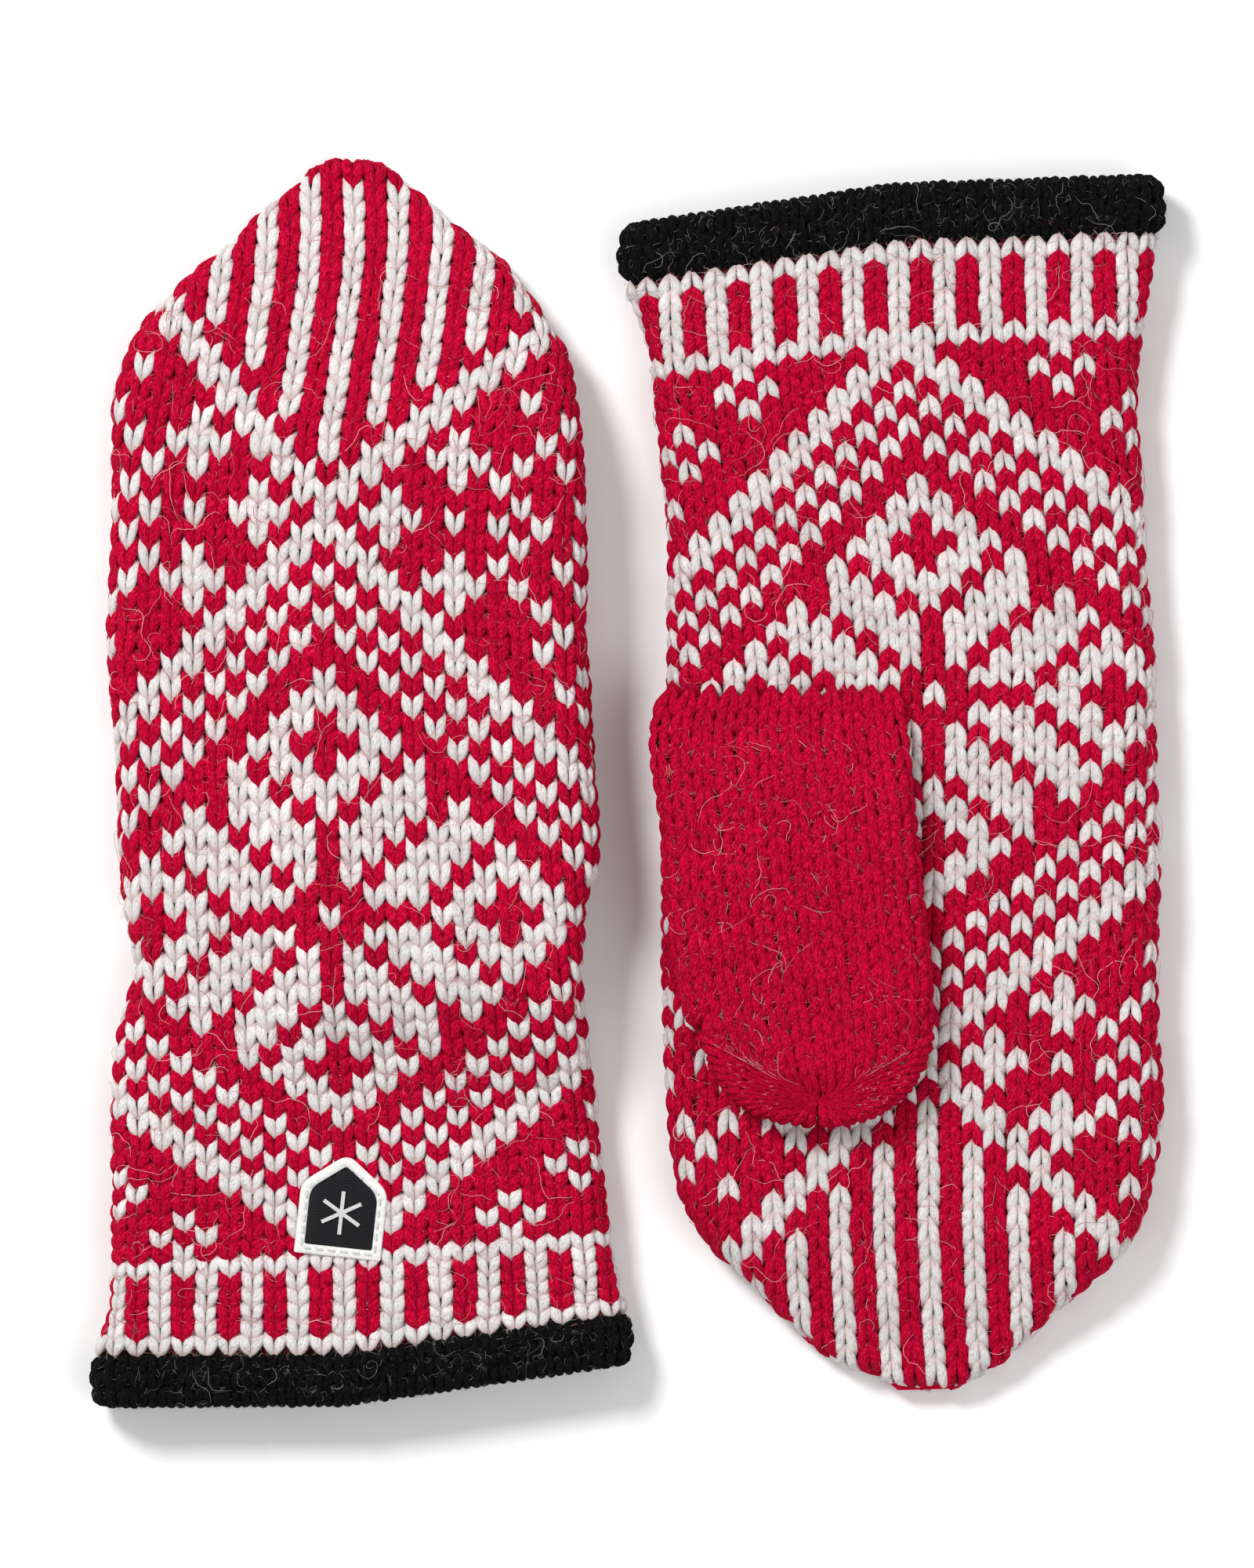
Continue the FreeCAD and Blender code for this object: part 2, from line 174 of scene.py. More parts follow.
# ---------------------------------------------------------------- the two mittens
# Each is described with its fingertips along +y. The right one is turned half a turn afterwards.
# Outlines are (y, x), rows are (row, y), a pitch is (y, mm) and a tilt is (row, mm for each wale).
LEFT = dict(
    name="left", turn=1, tip=132.0, body="left_mitten", thumb_body="left_thumb_tube", lift=LIFT,
    hem=(-112.1, -1.0), hem_height=8.5,
    left_edge=smooth([
        (-122, -113.6), (-116, -111.2), (-109, -109.4), (-84, -109.3), (-72, -109.5), (-55, -108.5),
        (-38, -104.8), (-30, -106.3), (-17, -107.7), (7, -108.7), (32, -110.5), (57, -109.3), (82, -109.3),
        (87, -108), (91, -106.7), (95, -104.5), (99, -101.8), (103, -97.5), (108, -93),
        (112, -88), (116, -83), (120, -79.5), (124, -74.7), (128, -69.6), (130.7, -67), (132, -64)]),
    right_edge=smooth([
        (-122, 2), (-113, 0), (-101, -3), (-84, -5.2), (-72, -6.8), (-55, -8.3), (-38, -9.5),
        (-30, -9.5), (-22, -8), (-17, -6.3), (-9, -6.3), (7, -7.8), (24, -8.7), (57, -9),
        (82, -10.7), (91, -12.8), (99, -17.5), (103, -20), (108, -23.5), (112, -27.7),
        (116, -32.7), (120, -38), (124, -42.3), (128, -47.4), (130.7, -50.3), (132, -53.3)]),
    axis=smooth([(-120, -60.1), (-79, -60.2), (-62, -60.9), (-45, -62.2), (-22, -63), (8, -63.7),
                 (42, -64.1), (71, -63.1), (83, -61.5), (100, -59.3), (117, -57.9), (125, -58.2)]),
    rows=smooth([(-24, -121.2), (-19, -103.8), (-12, -77.3), (0, -30.8), (12, 23.7), (22, 67.3),
                 (36, 127)]),
    pitch_left=smooth([(-120, 4.9), (-60, 4.8), (0, 4.72), (130, 4.65)]),
    pitch_right=smooth([(-120, 5.2), (-60, 4.9), (0, 4.66), (60, 4.58), (130, 4.7)]),
    tilt_left=smooth([(-24, 0.04), (-19, 0.2), (-11, 0.58), (3, 0.33), (16, 0.15), (22, -0.35),
                      (27, -0.7), (37, -0.6)]),
    tilt_right=smooth([(-24, 0.72), (-19, 0.45), (-11, 0.1), (3, 0.0), (14, -0.35), (25, -0.33),
                       (37, -0.3)]),
)
RIGHT = dict(
    name="right", turn=-1, tip=129.6, body="right_mitten", thumb_body="right_thumb_tube", lift=0.0,
    hem=(-112.4, -0.2), hem_height=9.5,
    left_edge=smooth([
        (-120, -113), (-116, -112.6), (-107, -111.3), (-99, -109.8), (-82, -108.2), (-66, -109.3),
        (-49, -110), (-32, -111.5), (-12, -112.5), (22, -113.2), (42, -112.6), (67, -113.8),
        (80, -112.7), (88, -111), (97, -107.3), (105, -99.8), (113, -90.2), (122, -81), (126, -74.7),
        (129.6, -69.8)]),
    right_edge=smooth([
        (-118, 3), (-107, 0.5), (-99, -2.7), (-91, -5), (-82, -6), (-66, -7.8), (-49, -9), (-32, -8.8),
        (0, -8), (42, -7.7), (67, -8.7), (80, -10), (88, -11.7), (97, -17), (105, -25.2), (113, -33.2),
        (122, -43.5), (126, -53.3), (129.6, -63.7)]),
    axis=smooth([(-120, -57.4), (-93, -58.2), (-60, -62), (-22, -65.2), (20, -65), (58, -63.8),
                 (90, -64), (127, -65.8)]),
    rows=smooth([(-24, -115.6), (-19, -97.9), (0, -21.7), (19, 54), (36.5, 128)]),
    pitch_left=smooth([(-120, 4.88), (-60, 4.78), (130, 4.75)]),
    pitch_right=smooth([(-120, 4.9), (0, 4.7), (130, 4.7)]),
    tilt_left=smooth([(-24, 0.17), (-17, 0.18), (0, 0.0), (10, -0.25), (20, -0.42), (37, -0.42)]),
    tilt_right=smooth([(-24, 0.75), (-10, 0.5), (0, 0.3), (18, 0.1), (25, 0.4), (37, 0.6)]),
)
# The hand's thickness, by the distance past the start of the tip zone.
DEPTH = smooth([(-35, 15), (0, 15), (5, 14), (14, 12), (22, 9.5), (29, 8.2), (34, 7.6)])
# The share of LIFT that the left mitten is raised by, by y.
DRAPE = smooth([(-95, 0), (-70, 0), (-37, 1), (70, 1), (90, 0.42), (103, 0.1), (118, 0), (140, 0)])
THUMBS = dict(
    right=dict(
        mitten=RIGHT, low=15.7, base=-20.5, gather=(-40.3, 67.3), end=72.2, end_half=23.6, end_drop=22.0,
        left_edge=smooth([(-22, -59), (-5, -60), (11, -61.3), (25, -62.7), (46, -64.7), (55.5, -64.4),
                          (62, -61.5), (67.5, -56.5), (70.3, -50.5), (71.6, -46.5)]),
        right_edge=smooth([(-22, -7), (-11, -4.5), (8, -7), (25, -8.4), (46.7, -11.7), (60, -17.5),
                           (67.5, -26.7), (71, -34), (71.6, -38)])),
    left=dict(
        mitten=LEFT, low=0.1, base=-26.0, gather=(-41.5, 60.5), end=65.2, end_half=23.6, end_drop=22.0,
        left_edge=smooth([(-26, -62), (0, -64), (30, -66), (48, -65), (56, -60), (62, -51), (64.8, -44)]),
        right_edge=smooth([(-26, -9), (-12, -7), (20, -8), (40, -11), (52, -17), (60, -27), (64.8, -38)])),
)


def place(m, x, y, z):
    """Points in the row frame, in metres, from a mitten's own frame in mm."""
    return np.stack([x * m["turn"], y * m["turn"], z], axis=-1) * MM


def section(m, y):
    """Centre, half width, thickness of the hand's cross-section at y."""
    left, right = m["left_edge"](y) + SKIN, m["right_edge"](y) - SKIN
    half = np.maximum((right - left) / 2, 1.5)
    depth = DEPTH(y - (m["tip"] - TIP_ZONE)) - 2 * SKIN
    return (left + right) / 2, half, np.minimum(depth / 2, half * 0.95)


def lift(m, x, y):
    """How far the mitten is raised at a place: only the left one is, over its folded thumb."""
    return m["lift"] * DRAPE(y) * ramp(x, *DRAPE_X)


def side_arc(m, y):
    """Length over the section from its middle to its outermost point."""
    _, half, r = section(m, y)
    return half - r + r * QUARTER


def hand_point(m, face, arc, y):
    """Point and outward direction on the hand: arc is measured over the face from its middle.

    face is 1 for the side that shows and -1 for the one on the table."""
    centre, half, r = section(m, y)
    flat = half - r
    e, way = np.abs(arc), np.sign(arc)
    turn = np.clip((e - flat) / r, 0, 2.2)
    x = centre + way * (np.minimum(e, flat) + r * np.sin(turn))
    z = r + SKIN + 0.1 + face * r * np.cos(turn) + lift(m, x, y)
    up = face * np.cos(turn)
    climb_x = lift(m, x + 0.5, y) - lift(m, x - 0.5, y)
    climb_y = lift(m, x, y + 0.5) - lift(m, x, y - 0.5)
    slope_x, slope_y = way * np.sin(turn) - up * climb_x, -up * climb_y
    n = np.stack([slope_x * m["turn"], slope_y * m["turn"], up], axis=-1)
    return place(m, x, y, z), n / np.linalg.norm(n, axis=-1, keepdims=True)


def row_line(m, face, c, k):
    """y of row k at wale c: rows slant, and not alike on both sides of the axis."""
    side = WALES_HALF + 1
    tilt = np.where(c < 0, m["tilt_left"](k), m["tilt_right"](k)) * np.clip(c, -side, side)
    fade = (1 - UNDER_TILT) * ramp(k, FIRST_ROW + 1, FIRST_ROW + 12)
    return m["rows"](k) + tilt * (1.0 if face > 0 else 1 - fade)


def wale_arc(m, face, c, y):
    """Where wale c runs at y, as a length over the face from its middle."""
    centre, _, _ = section(m, y)
    if face > 0:
        pitch = np.where(c < 0, m["pitch_left"](y), m["pitch_right"](y))
        return m["axis"](y) - centre + c * pitch
    return c * UNDER_PITCH


def hand_surface(m, face):
    def surface(c, k):
        y = row_line(m, face, c, k)
        y = np.minimum(y, m["tip"] + 0.4)
        return hand_point(m, face, wale_arc(m, face, c, y), y)

    return surface


def hem_point(m, arc_share, v):
    """Point and outward direction on the folded hem.

    arc_share runs once round the opening; v runs from the knit edge over the fold and inside."""
    share = np.mod(arc_share, 1.0)
    face = np.where(share < 0.5, 1.0, -1.0)
    local = np.where(share < 0.5, share * 4 - 1, 3 - share * 4)     # -1 at left side, +1 at right side
    y_mid = m["rows"](FIRST_ROW)
    (left, right), height = m["hem"], m["hem_height"]
    centre, half = (left + right) / 2, (right - left) / 2 - HEM_SIDE
    r = HEM_RADIUS
    total = half - r + r * QUARTER
    e, way = np.abs(local) * total, np.sign(local)
    turn = np.clip((e - (half - r)) / r, 0, QUARTER)
    x = centre + way * (np.minimum(e, half - r) + r * np.sin(turn))
    nx, nz = way * np.sin(turn), face * np.cos(turn)
    side = WALES_HALF + 0.5
    c = np.clip((x - m["axis"](y_mid)) / HEM_PITCH, -side, side)
    slant = np.where(c < 0, m["tilt_left"](FIRST_ROW), m["tilt_right"](FIRST_ROW)) * c
    top = y_mid + slant + HEM_RISE
    bend = np.clip((v - height) / HEM_WALL, 0, math.pi)
    beyond = np.maximum(v - height - HEM_WALL * math.pi, 0)
    bulge = HEM_BULGE * np.sin(np.clip(v / height, 0, 1) * math.pi) ** 2
    bulge = bulge - HEM_TUCK * (1 - ramp(v, 0, HEM_TUCK_LENGTH))
    off = HEM_WALL * np.cos(bend)
    y = top - np.minimum(v, height) - HEM_WALL * np.sin(bend) + beyond
    out = off + np.where(v < height, bulge, 0)
    z = HEM_MIDDLE + nz * r + nz * out
    n = np.stack([nx * np.cos(bend) * m["turn"], -np.sin(bend) * m["turn"], nz * np.cos(bend)], axis=-1)
    return place(m, x + nx * out, y, z), n


def hem_surface(m):
    def surface(c, k):
        return hem_point(m, c / HEM_WALES, -k * HEM_ROW)

    return surface


def thumb_section(t, y):
    """Centre, half width, edge radius and thickness of the thumb's cross-section at y."""
    left, right = t["left_edge"](y) + SKIN, t["right_edge"](y) - SKIN
    half = np.maximum((right - left) / 2, 1.0)
    grown = ramp(y, t["base"] - 2, t["base"] + THUMB_RISE)
    thick = THUMB_DEPTH * (THUMB_ROOT + (1 - THUMB_ROOT) * grown)
    r = np.minimum(thick / 2 - THUMB_SKIN, half * 0.95)
    return (left + right) / 2, half, np.maximum(r, 0.3), thick


def thumb_end(t, x):
    """How far the rounded end of the thumb reaches at x."""
    middle = t["gather"][0]
    share = np.clip(np.abs(x - middle) / t["end_half"], 0, 0.999)
    return t["end"] - SKIN - t["end_drop"] * (1 - (1 - share ** END_ROUND) ** (1 / END_ROUND))


def thumb_height(t, x, y, side, thick, r):
    """z of the thumb's face: it rounds off at the end and sinks in at the gathered point."""
    gx, gy = t["gather"]
    inside = thumb_end(t, x) - y
    fall = np.clip(1 - inside / np.maximum(r, 0.5), 0, 1)
    roof = np.sqrt(np.clip(1 - fall ** 2, 0, 1))
    # Its side on the palm stays flat: the lower one where the thumb lies on top of its mitten.
    on_top = t["low"] > THUMB_DEPTH
    middle = t["low"] + (thick / 2 if on_top else THUMB_DEPTH - thick / 2)
    sink = GATHER_SINK * np.exp(-((x - gx) ** 2 + (y - gy) ** 2) / GATHER_SPREAD)
    return middle + np.where(side > 0, np.minimum(side, roof) * r - sink, np.maximum(side, -roof) * r)


def thumb_surface(t, face):
    """Wales run straight up from the hand, then turn in to the gathered point near the tip."""
    m = t["mitten"]
    gx, gy = t["gather"]

    def path(c, u):
        centre, half, r, _ = thumb_section(t, gy - THUMB_FULL)
        reach = (centre + c / THUMB_HALF * half) - gx
        turn_in = gy - TURN_IN * np.abs(reach)
        y = np.minimum(t["base"] + u, turn_in)
        centre, half, r, thick = thumb_section(t, y)
        total = half - r + r * QUARTER
        arc = c / THUMB_HALF * total
        e, way = np.abs(arc), np.sign(arc)
        turn = np.clip((e - (half - r)) / r, 0, QUARTER)
        x = centre + way * (np.minimum(e, half - r) + r * np.sin(turn))
        w = np.clip((t["base"] + u - turn_in) / (TURN_IN_PATH * np.abs(reach) + 1e-6), 0, 1)
        return x + (gx - x) * w, y + (gy - y) * w, turn * (1 - ramp(w, 0, 0.17)), way, thick, r

    def surface(c, k):
        centre, half, r, _ = thumb_section(t, gy - THUMB_FULL)
        reach = np.abs((centre + c / THUMB_HALF * half) - gx)
        u = k / THUMB_ROWS * (gy - t["base"] + (TURN_IN_PATH - TURN_IN) * reach)
        parts = [path(c, u + d) for d in (-3.0, 0.0, 3.0)]      # averaged, so that the bend is round
        x = sum(p[0] * w for p, w in zip(parts, (0.25, 0.5, 0.25)))
        y = sum(p[1] * w for p, w in zip(parts, (0.25, 0.5, 0.25)))
        _, _, turn, way, thick, r = parts[1]
        z = thumb_height(t, x, y, face * np.cos(turn), thick, r)
        n = np.stack([way * np.sin(turn) * m["turn"], 0 * z, face * np.cos(turn) + 0 * z], axis=-1)
        return place(m, x, y, z), n

    return surface


def thumb_end_ray(t, c):
    """For a wale of the thumb's end: its direction from the gathered point and how far the edge is."""
    gx, gy = t["gather"]
    turn = c / END_WALES * END_FAN
    out_x = t["end_half"] * np.sign(turn) * np.abs(np.sin(turn)) ** (2 / END_ROUND)
    out_y = t["end_drop"] * np.clip(np.cos(turn), 0, 1) ** (2 / END_ROUND)
    dx, dy = out_x, t["end"] - SKIN - t["end_drop"] + out_y - gy
    far = np.hypot(dx, dy)
    return dx / far, dy / far, far


def thumb_end_surface(t):
    """The far side's wales, which come over the rounded end and run in to the gathered point."""
    m = t["mitten"]
    gx, gy = t["gather"]
    r = THUMB_DEPTH / 2 - THUMB_SKIN

    def surface(c, k):
        dx, dy, far = thumb_end_ray(t, c)
        flat = far - END_DEPTH * r
        back = END_ROW * (END_START - k)    # distance still to go to the gathered point
        over = np.clip((back - flat) / r, 0, 2.4)
        reach = np.clip(back, 0, flat) + END_DEPTH * r * np.sin(np.minimum(over, QUARTER))
        x, y = gx + dx * reach, gy + dy * reach
        sink = GATHER_SINK * np.exp(-reach ** 2 / GATHER_SPREAD)
        z = t["low"] + THUMB_DEPTH / 2 + r * np.cos(over) - sink
        side_x, side_y = dx * np.sin(over), dy * np.sin(over)
        n = np.stack([side_x * m["turn"], side_y * m["turn"], np.cos(over)], axis=-1)
        return place(m, x, y, z), n

    return surface


# ---------------------------------------------------------------- the knitting chart
# White stitches of the rose, by wale from its axis; the same above and below its centre.
ROSE = {
    0: (0, 5, 6, 10, 11, 14, 16, 18), 1: (2, 3, 4, 6, 7, 9, 10, 13, 15), 2: (1, 3, 4, 5, 7, 8, 9, 12, 14),
    3: (1, 2, 4, 5, 6, 8, 11, 13), 4: (1, 2, 3, 5, 6, 7, 10, 12), 5: (0, 2, 3, 4, 9, 11),
    6: (0, 1, 3, 4, 5, 8, 10), 7: (1, 2, 4, 7, 9), 8: (2, 3, 6, 8), 9: (1, 2, 5, 7),
    10: (0, 1, 4, 6), 11: (0, 3, 5), 12: (2, 4),
}
# Small flowers and single stitches outside the rose.
UPPER = {
    2: (19,), 3: (18, 19, 20), 4: (19,), 5: (16, 22), 6: (15, 16, 17, 19, 21, 22, 23), 7: (16, 22),
    8: (17, 19, 21), 9: (16, 18, 20, 22, 25), 10: (13, 15, 19, 23), 11: (11, 14, 17, 22, 24),
    12: (10, 12, 16, 18, 20, 26),
}
LOWER = {6: (17,), 7: (16, 18), 8: (17,), 9: (14,), 10: (13, 15), 11: (11, 14), 12: (10, 12)}


def is_white(c, k):
    """True where the chart has a white stitch. Past the side wales it is plain, or turns back."""
    c = abs(int(c))
    outside = c > WALES_HALF
    if k >= LAST_ROW - 1 or (outside and -CROSSING < k < CROSSING + 8):
        return False
    c = 2 * WALES_HALF - c if outside else c
    if k in (FIRST_ROW, -CROSSING):
        return True
    if k < -CROSSING:
        return c % 2 == 0 or outside
    if c % 2 == 0 and k >= CROSSING + 3 + c:
        return True
    if k == CROSSING + c or k == CROSSING + 1 + c:
        return True
    if abs(k) < CROSSING and c > 0 and abs(k) in (CROSSING - 1 - c, CROSSING - c):
        return True
    if abs(k) in ROSE[c]:
        return True
    return (k > 0 and k in UPPER.get(c, ())) or (k < 0 and -k in LOWER.get(c, ()))


# ---------------------------------------------------------------- geometry helpers
LABEL_BOX = np.array([list(corner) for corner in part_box("label_rim")])    # in metres
HALO_FOOT, HALO_HEAD, HALO_LENGTH = 0.46, 0.66, 0.3     # where a stitch's fuzzy ends fade, by share


def wrap_faces(index):
    """Quads over rings of vertex indices: the last axis goes round, the one before goes along."""
    after = np.roll(index, -1, axis=-1)
    quad = (index[..., :-1, :], after[..., :-1, :], after[..., 1:, :], index[..., 1:, :])
    return np.stack(quad, axis=-1).reshape(-1, 4)


def plain_uv(around, along, wide, high):
    """A grid's uv, running to wide across and high along."""
    grid = np.meshgrid(np.linspace(0, wide, around), np.linspace(0, high, along))
    return np.stack(grid, axis=-1).reshape(-1, 2)


def plain_skin(verts, faces, uv):
    """What make_mesh takes, for a layer with no stitches of its own."""
    plain = np.zeros(len(verts))
    return verts, faces, uv, plain, plain


def make_mesh(name, verts, faces, uv, tone, ends, material):
    """faces is (n, 4) vertex indices; uv, tone and ends are given for each vertex."""
    mesh = bpy.data.meshes.new(name)
    mesh.vertices.add(len(verts))
    mesh.vertices.foreach_set("co", verts.astype(np.float32).ravel())
    mesh.loops.add(faces.size)
    mesh.loops.foreach_set("vertex_index", faces.astype(np.int32).ravel())
    mesh.polygons.add(len(faces))
    mesh.polygons.foreach_set("loop_start", np.arange(0, faces.size, 4, dtype=np.int32))
    mesh.polygons.foreach_set("use_smooth", np.ones(len(faces), bool))
    layer = mesh.uv_layers.new(name="UVMap")
    layer.data.foreach_set("uv", uv[faces.ravel()].astype(np.float32).ravel())
    for word, values in (("tone", tone), ("ends", ends)):
        attribute = mesh.attributes.new(word, "FLOAT", "POINT")
        attribute.data.foreach_set("value", values.astype(np.float32).ravel())
    mesh.materials.append(material)
    mesh.update()
    mesh.validate()
    obj = bpy.data.objects.new(name, mesh)
    bpy.context.scene.collection.objects.link(obj)
    return obj


def tubes(points, normals, width, depth, sides, u_length, tone):
    """Tubes along (n, rings, 3) points, kept above the floor and below the label.

    Returns what make_mesh takes: verts, faces, uv, tone and ends."""
    n, rings, _ = points.shape
    tangent = np.gradient(points, axis=1)
    tangent /= np.linalg.norm(tangent, axis=-1, keepdims=True) + 1e-12
    across = np.cross(tangent, normals)
    across /= np.linalg.norm(across, axis=-1, keepdims=True) + 1e-12
    up = np.cross(across, tangent)
    a = np.linspace(0, 2 * math.pi, sides, endpoint=False)
    width = np.broadcast_to(width, (n, rings))[..., None, None] * MM
    depth = np.broadcast_to(depth, (n, rings))[..., None, None] * MM
    ring = (
        across[:, :, None] * np.cos(a)[None, None, :, None] * width
        + up[:, :, None] * np.sin(a)[None, None, :, None] * depth
    )
    verts = (points[:, :, None] + ring).reshape(-1, 3)
    verts[:, 2] = np.maximum(verts[:, 2], FLOOR_GAP * MM)
    below = np.all((verts[:, :2] > LABEL_BOX[0, :2]) & (verts[:, :2] < LABEL_BOX[1, :2]), axis=1)
    verts[below, 2] = np.minimum(verts[below, 2], LABEL_BOX[0, 2] + UNDER_LABEL * MM)
    faces = wrap_faces(np.arange(n * rings * sides).reshape(n, rings, sides))
    along = np.linspace(0, 1, rings)[None, :, None] * u_length + rng.random((n, 1, 1)) * 50
    around = np.minimum(a, 2 * math.pi - a)[None, None] / math.pi + 0 * along
    uv = np.stack([along + 0 * around, around], axis=-1).reshape(-1, 2)
    tone = np.repeat(tone, rings * sides)
    t = np.linspace(0, 1, rings)
    fuzzy = np.maximum(1 - t / HALO_FOOT, (t - HALO_HEAD) / HALO_LENGTH).clip(0, 1)
    return verts, faces, uv, tone, np.tile(np.repeat(fuzzy, sides), n)


def join(parts):
    """Several pieces of make_mesh data as one."""
    faces, base = [], 0
    for part in parts:
        faces.append(part[1] + base)
        base += len(part[0])
    verts, uv, tone, ends = (np.concatenate([part[i] for part in parts]) for i in (0, 2, 3, 4))
    return verts, np.concatenate(faces), uv, tone, ends


def stitches(surface, c, k, rings=9, sides=8, thick=1.0, span=STITCH_SPAN):
    """Both legs of the stitches at wales c and rows k, as thick as their wale is wide."""
    c, k = np.asarray(c, float), np.asarray(k, float)
    n = len(c)
    t = np.linspace(0, 1, rings)
    tone = rng.normal(0, 1, n)
    shift = rng.normal(0, UNEVEN_PLACE, (n, 1))
    parts = []
    for way in (-1, 1):
        jitter = rng.normal(0, 1, (n, 1))
        lateral = way * LEG_SPREAD(t) + shift + UNEVEN_LEAN * jitter * t
        cc = c[:, None] + lateral
        kk = k[:, None] - 0.1 + span * t[None] + UNEVEN_ROW * jitter
        points, normals = surface(cc, kk)
        far_side, near_side = surface(c[:, None] + 0.5, kk)[0], surface(c[:, None] - 0.5, kk)[0]
        wale = np.linalg.norm(far_side - near_side, axis=-1)
        room = np.clip(wale / MM / WALE_PITCH, 0.25, 1.16) * thick
        height = LEG_HEIGHT(t)[None] * room + UNEVEN_HEIGHT * rng.normal(0, 1, (n, 1))
        points = points + normals * height[..., None] * MM
        grow = 1 + UNEVEN_GIRTH * rng.normal(0, 1, (n, 1))
        profile = LEG_GIRTH(t)
        wobble = 1 + UNEVEN_SPIN * np.sin(t[None] * 9 + rng.random((n, 1)) * 6.3)
        width = YARN_WIDTH * room * profile[None] * grow * wobble
        depth = YARN_DEPTH * room * profile[None] * grow
        parts.append(tubes(points, normals, width, depth, sides, 7.0, tone + UNEVEN_TONE * jitter[:, 0]))
    return join(parts)


def hairs(surface, count, c_range, k_range, length, radius, rings=10, high=(0.9, 2.2), curl=1.0):
    """Stray fibres that wander over a knitted surface, clear of the label.

    c_range and k_range are where they start, length and high are ranges too, and a larger curl
    makes them wander more."""
    c = rng.uniform(*c_range, count)[:, None]
    k = rng.uniform(*k_range, count)[:, None]
    heading = rng.uniform(0, 2 * math.pi, (count, 1))
    bend = rng.normal(0, 0.55 * curl, (count, 1)) / rings * 5
    wiggle = np.cumsum(rng.normal(0, 0.33 * curl, (count, rings)), axis=1)
    angle = heading + bend * np.arange(rings)[None] + wiggle
    step = rng.uniform(*length, (count, 1)) / rings
    cc = c + np.cumsum(np.cos(angle), axis=1) * step / NEAR_WALE
    kk = k + np.cumsum(np.sin(angle), axis=1) * step / NEAR_ROW
    points, normals = surface(cc, kk)
    t = np.linspace(0, 1, rings)[None]
    height = rng.uniform(*high, (count, 1)) * np.sin(math.pi * (0.12 + 0.76 * t)) + 0.25
    points = points + normals * height[..., None] * MM
    taper = np.sin(math.pi * (0.1 + 0.8 * t)) * radius
    tone = rng.random(count)
    low, top = LABEL_BOX[0] - LABEL_AIR, LABEL_BOX[1] + LABEL_AIR
    keep = ~np.all((points > low) & (points < top), axis=-1).any(axis=1)
    return tubes(points[keep], normals[keep], taper, taper, 3, 5.0, tone[keep])


# ---------------------------------------------------------------- materials
def ramp_node(tree, fac, stops):
    made = tree.nodes.new("ShaderNodeValToRGB")
    elements = made.color_ramp.elements
    for i, (at, colour) in enumerate(stops):
        e = elements[i] if i < 2 else elements.new(at)
        e.position, e.color = at, (*colour, 1)
    tree.links.new(fac, made.inputs[0])
    return made.outputs[0]


def mix(tree, fac, a, b, blend="MIX"):
    made = tree.nodes.new("ShaderNodeMix")
    made.data_type, made.blend_type = "RGBA", blend
    for value, socket in ((fac, made.inputs[0]), (a, made.inputs[6]), (b, made.inputs[7])):
        if hasattr(value, "links"):
            tree.links.new(value, socket)
        else:
            socket.default_value = value if isinstance(value, float) else (*value, 1)
    return made.outputs[2]


def math_node(tree, kind, a, b=0.0):
    made = tree.nodes.new("ShaderNodeMath")
    made.operation = kind
    for value, socket in ((a, made.inputs[0]), (b, made.inputs[1])):
        if hasattr(value, "links"):
            tree.links.new(value, socket)
        else:
            socket.default_value = value
    return made.outputs[0]


def noise(tree, vector, scale, detail=3.0, rough=0.55):
    made = tree.nodes.new("ShaderNodeTexNoise")
    made.inputs["Scale"].default_value = scale
    made.inputs["Detail"].default_value = detail
    made.inputs["Roughness"].default_value = rough
    tree.links.new(vector, made.inputs["Vector"])
    return made.outputs["Fac"]


def finish_material(tree, colour, bump_height, strength, distance, rough=0.92, sheen=0.35,
                    tint=(1, 1, 1)):
    """Dull cloth of a colour, with fine bumps on it and a soft sheen at its edges."""
    out = tree.nodes["Principled BSDF"]
    tree.links.new(colour, out.inputs["Base Color"])
    out.inputs["Roughness"].default_value = rough
    out.inputs["Specular IOR Level"].default_value = 0.05
    out.inputs["Sheen Weight"].default_value = sheen
    out.inputs["Sheen Roughness"].default_value = 0.6
    out.inputs["Sheen Tint"].default_value = (*tint, 1)
    bump = tree.nodes.new("ShaderNodeBump")
    bump.inputs["Strength"].default_value = strength
    bump.inputs["Distance"].default_value = distance
    tree.links.new(bump_height, bump.inputs["Height"])
    tree.links.new(bump.outputs[0], out.inputs["Normal"])


def new_tree(name):
    material = bpy.data.materials.new(name)
    material.use_nodes = True
    return material, material.node_tree


